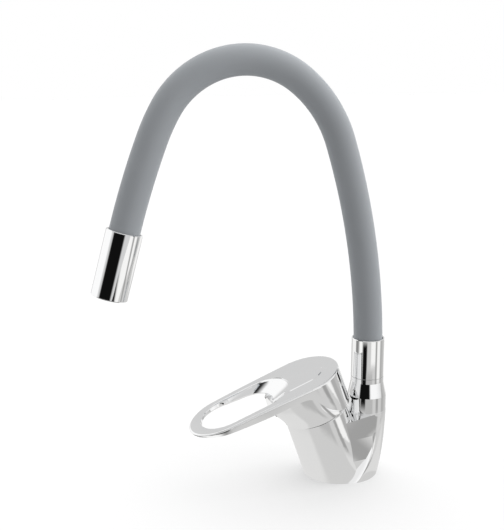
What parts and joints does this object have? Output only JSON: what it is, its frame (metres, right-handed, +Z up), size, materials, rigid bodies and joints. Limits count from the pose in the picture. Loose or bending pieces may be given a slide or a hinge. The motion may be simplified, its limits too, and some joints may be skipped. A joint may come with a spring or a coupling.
{
  "type": "mixer tap",
  "caption": "Deck-mounted single-lever kitchen mixer with a swivelling, flexible silicone-sleeved neck and a cylindrical outlet head; the lever is a slanted finger loop.",
  "frame": {"origin": "centre of the base's underside, on the deck", "axes": "+Z up, the lever and the outlet point to -Y, symmetric about the plane X = 0"},
  "size_m": [0.06, 0.225, 0.3256],
  "materials": {
    "polished_chrome": "polished chrome plate",
    "grey_silicone": "matt grey silicone",
    "spring_steel": "bright drawn steel",
    "brass": "machined brass",
    "ceramic": "lapped alumina ceramic",
    "black_rubber": "moulded nitrile rubber",
    "white_plastic": "moulded acetal",
    "clear_hose": "smooth hose",
    "chrome_plastic": "chromed plastic",
    "plug_grey": "moulded plastic"
  },
  "bodies": {
    "base": {"body": "polished_chrome", "base_seal": "black_rubber", "cartridge_seals": "black_rubber", "cartridge_base": "white_plastic", "fixed_disc": "ceramic", "cartridge_housing": "white_plastic", "retaining_nut": "brass", "dust_ring": "white_plastic", "spout_screw": "spring_steel", "glide_ring": "white_plastic"},
    "rotor": {"rotor": "white_plastic", "pivot_pin": "spring_steel"},
    "lever": {"stem": "brass", "handle": "polished_chrome", "handle_screw": "spring_steel", "indicator_plug": "plug_grey"},
    "disc": {"moving_disc": "ceramic", "disc_carrier": "white_plastic"},
    "spout": {"spout_socket": "polished_chrome", "spout_rings": "black_rubber", "lower_ferrule": "brass", "neck_core_1": "spring_steel", "neck_sleeve": "grey_silicone", "neck_hose": "clear_hose"},
    "neck_middle": {"neck_core_2": "spring_steel"},
    "neck_top": {"neck_core_3": "spring_steel"},
    "head": {"neck_core_4": "spring_steel", "upper_ferrule": "brass", "head_shell": "polished_chrome", "head_adapter": "brass", "aerator_housing": "chrome_plastic", "aerator_insert": "white_plastic", "aerator_seal": "black_rubber"}
  },
  "joints": [
    {"name": "lever_turn", "type": "hinge", "parent": "base", "child": "rotor", "pos_m": [0, 0, 0], "axis": [0, -0.342, 0.9397], "range_deg": [-50, 50]},
    {"name": "lever_lift", "type": "hinge", "parent": "rotor", "child": "lever", "pos_m": [0, -0.01693, 0.04652], "axis": [-1, 0, 0], "range_deg": [0, 10]},
    {"name": "disc_slide", "type": "slide", "parent": "rotor", "child": "disc", "axis": [0, -0.9397, -0.342], "range_m": [0, 0.00334]},
    {"name": "spout_swivel", "type": "hinge", "parent": "base", "child": "spout", "pos_m": [0, 0.024, 0.09], "axis": [0, 0, 1], "continuous": true},
    {"name": "neck_low_bend", "type": "hinge", "parent": "spout", "child": "neck_middle", "pos_m": [0, 0.01857, 0.16774], "axis": [1, 0, 0], "range_deg": [-20, 15], "deforming": ["neck_sleeve", "neck_hose"]},
    {"name": "neck_crown_bend", "type": "hinge", "parent": "neck_middle", "child": "neck_top", "pos_m": [0, -0.02564, 0.29406], "axis": [1, 0, 0], "range_deg": [-20, 15], "deforming": ["neck_sleeve", "neck_hose"]},
    {"name": "neck_head_bend", "type": "hinge", "parent": "neck_top", "child": "head", "pos_m": [0, -0.13701, 0.27], "axis": [1, 0, 0], "range_deg": [-20, 15], "deforming": ["neck_sleeve", "neck_hose"]}
  ],
  "couplings": [
    {"joint": "disc_slide", "follows": "lever_lift", "m_per_rad": 0.01886}
  ]
}
